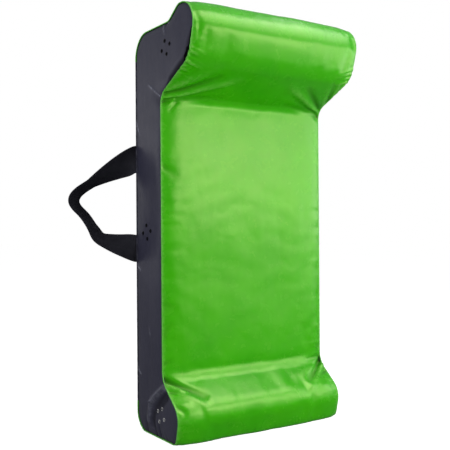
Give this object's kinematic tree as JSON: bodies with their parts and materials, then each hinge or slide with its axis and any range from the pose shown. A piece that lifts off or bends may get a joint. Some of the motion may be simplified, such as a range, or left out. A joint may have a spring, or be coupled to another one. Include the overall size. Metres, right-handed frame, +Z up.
{
  "type": "tackle wedge",
  "caption": "Upright foam tackle pad in a sewn cover: flat slab, large rolled top bolster, small foot bolster, webbing loop handle on each back edge, zip closure behind.",
  "frame": {"origin": "on the floor, under the middle of the flat base", "axes": "+Z up along the slab, -Y out of the padded front, +X to the right seen from the front"},
  "size_m": [0.8682, 0.433, 1.106],
  "materials": {
    "green_pvc": "satin",
    "grey_pvc": "satin",
    "black_webbing": "matte",
    "zip_tape": "matte",
    "foam": "matte",
    "nickel": "satin"
  },
  "bodies": {
    "wedge": {"back_panel": "grey_pvc", "eyelet_left_bottom_1": "nickel", "eyelet_left_bottom_2": "nickel", "eyelet_left_bottom_3": "nickel", "eyelet_left_bottom_4": "nickel", "eyelet_left_middle_1": "nickel", "eyelet_left_middle_2": "nickel", "eyelet_left_middle_3": "nickel", "eyelet_left_middle_4": "nickel", "eyelet_left_top_1": "nickel", "eyelet_left_top_2": "nickel", "eyelet_left_top_3": "nickel", "eyelet_left_top_4": "nickel", "eyelet_right_bottom_1": "nickel", "eyelet_right_bottom_2": "nickel", "eyelet_right_bottom_3": "nickel", "eyelet_right_bottom_4": "nickel", "eyelet_right_middle_1": "nickel", "eyelet_right_middle_2": "nickel", "eyelet_right_middle_3": "nickel", "eyelet_right_middle_4": "nickel", "eyelet_right_top_1": "nickel", "eyelet_right_top_2": "nickel", "eyelet_right_top_3": "nickel", "eyelet_right_top_4": "nickel", "foam_bottom_bolster": "foam", "foam_slab": "foam", "foam_top_bolster": "foam", "front_panel": "green_pvc", "gusset_left": "grey_pvc", "gusset_right": "grey_pvc", "handle_end_left_lower": "black_webbing", "handle_end_left_upper": "black_webbing", "handle_end_right_lower": "black_webbing", "handle_end_right_upper": "black_webbing", "zip_end_stop": "nickel", "zip_stop_left": "nickel", "zip_stop_right": "nickel", "zip_tape_left": "zip_tape", "zip_tape_right": "zip_tape", "zip_teeth_left": "nickel", "zip_teeth_right": "nickel"},
    "handle_left": {"handle_loop_left": "black_webbing"},
    "handle_right": {"handle_loop_right": "black_webbing"},
    "slider": {"zip_slider": "nickel"},
    "pull": {"zip_pull": "nickel"}
  },
  "joints": [
    {"name": "handle_left_swing", "type": "hinge", "parent": "wedge", "child": "handle_left", "pos_m": [-0.2665, 0.1195, 0.612], "axis": [0, 0, 1], "range_deg": [-94, 94]},
    {"name": "handle_right_swing", "type": "hinge", "parent": "wedge", "child": "handle_right", "pos_m": [0.2665, 0.1195, 0.612], "axis": [0, 0, 1], "range_deg": [-94, 94]},
    {"name": "zip_slide", "type": "slide", "parent": "wedge", "child": "slider", "axis": [0, 0, 1], "range_m": [0, 0.771]},
    {"name": "zip_pull_swing", "type": "hinge", "parent": "slider", "child": "pull", "pos_m": [0, 0.1277, 0.1393], "axis": [1, 0, 0], "range_deg": [-2.5, 175]}
  ]
}
